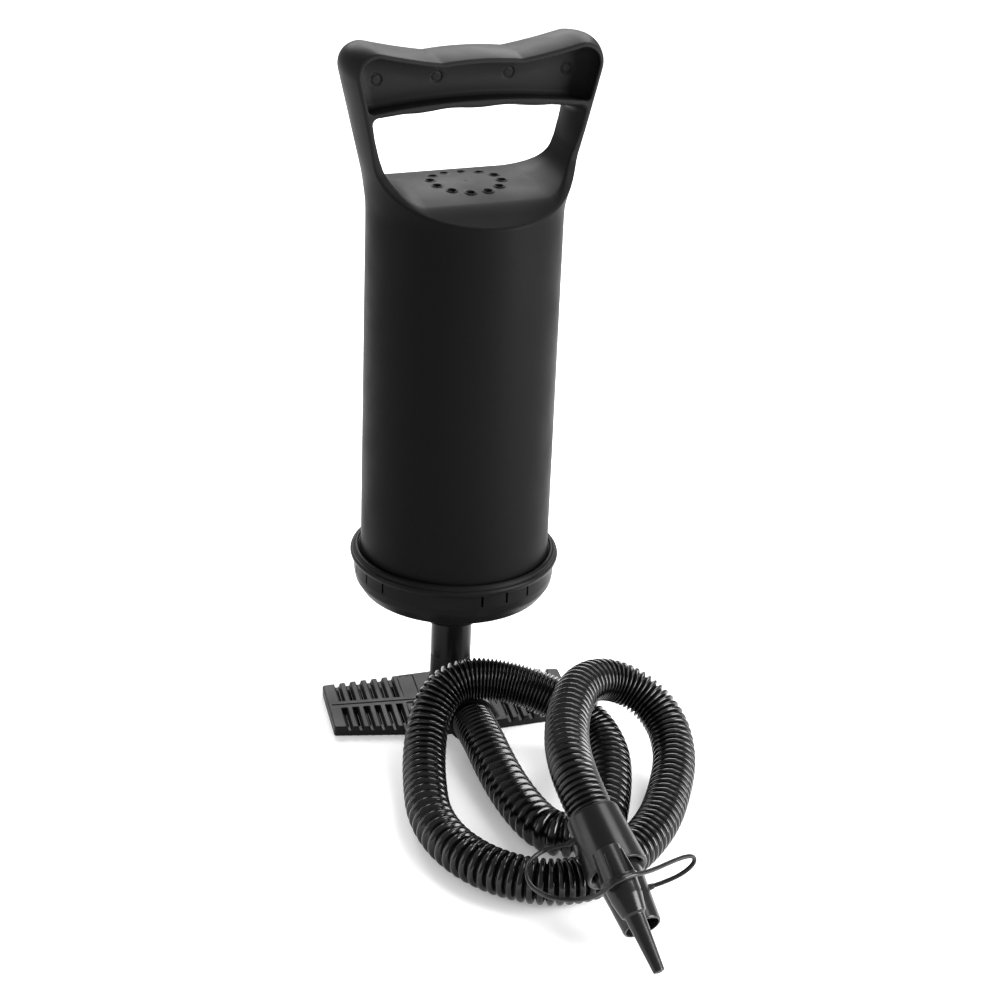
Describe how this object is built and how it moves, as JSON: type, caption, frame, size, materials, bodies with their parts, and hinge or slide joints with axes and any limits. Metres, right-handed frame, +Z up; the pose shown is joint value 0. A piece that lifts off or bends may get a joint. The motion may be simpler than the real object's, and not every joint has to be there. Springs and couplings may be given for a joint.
{
  "type": "double action hand pump",
  "caption": "Upright double action hand air pump with a grip handle on its sliding barrel, a fixed stem on a foot plate, a corrugated hose and tethered valve nozzles.",
  "frame": {"origin": "on the ground under the centre of the stem, at the foot plate's underside", "axes": "+Z up along the stem and barrel, X along the foot plate, hose and nozzles towards -Y"},
  "size_m": [0.1632, 0.299, 0.338],
  "materials": {
    "barrel_plastic": "satin black polypropylene",
    "cap_plastic": "satin black polypropylene",
    "foot_plastic": "matte black polypropylene",
    "stem_plastic": "smooth black plastic",
    "inner_plastic": "moulded dark plastic",
    "seal_rubber": "soft rubber",
    "screw_steel": "zinc plated",
    "hose_plastic": "glossy black corrugated plastic",
    "cuff_plastic": "smooth black plastic",
    "nozzle_plastic": "smooth black plastic",
    "tether_plastic": "smooth black flexible plastic"
  },
  "bodies": {
    "foot": {"foot_plate": "foot_plastic", "stem_tube": "stem_plastic", "stem_seal_ring": "seal_rubber", "piston_lower": "inner_plastic", "piston_upper": "inner_plastic", "valve_spacer": "inner_plastic", "piston_ring": "seal_rubber", "piston_screw": "screw_steel", "hose_base_cuff": "cuff_plastic", "hose": "hose_plastic", "hose_outlet_cuff": "cuff_plastic", "large_nozzle": "nozzle_plastic", "small_nozzle": "nozzle_plastic", "nozzle_tether": "tether_plastic"},
    "gland": {"rod_bush": "inner_plastic", "rod_seal": "seal_rubber"},
    "barrel": {"pump_barrel": "barrel_plastic", "intake_flap_cage": "inner_plastic", "bottom_cap": "cap_plastic", "lower_valve_plate": "inner_plastic", "barrel_seal_ring": "seal_rubber"},
    "intake_flap": {"intake_flap": "seal_rubber"},
    "lower_intake_flap": {"lower_intake_flap": "seal_rubber"},
    "lower_transfer_flap": {"lower_transfer_flap": "seal_rubber"},
    "upper_transfer_flap": {"upper_transfer_flap": "seal_rubber"}
  },
  "joints": [
    {"name": "pump_stroke", "type": "slide", "parent": "foot", "child": "gland", "axis": [0, 0, 1], "range_m": [0, 0.152]},
    {"name": "handle_swivel", "type": "hinge", "parent": "gland", "child": "barrel", "pos_m": [0, 0, 0.06], "axis": [0, 0, 1], "continuous": true},
    {"name": "intake_flap_lift", "type": "slide", "parent": "barrel", "child": "intake_flap", "axis": [0, 0, 1], "range_m": [0, 0.0018]},
    {"name": "lower_intake_flap_lift", "type": "slide", "parent": "barrel", "child": "lower_intake_flap", "axis": [0, 0, 1], "range_m": [0, 0.0016]},
    {"name": "lower_transfer_flap_lift", "type": "slide", "parent": "foot", "child": "lower_transfer_flap", "axis": [0, 0, 1], "range_m": [0, 0.0018]},
    {"name": "upper_transfer_flap_lift", "type": "slide", "parent": "foot", "child": "upper_transfer_flap", "axis": [0, 0, 1], "range_m": [0, 0.0016]}
  ]
}
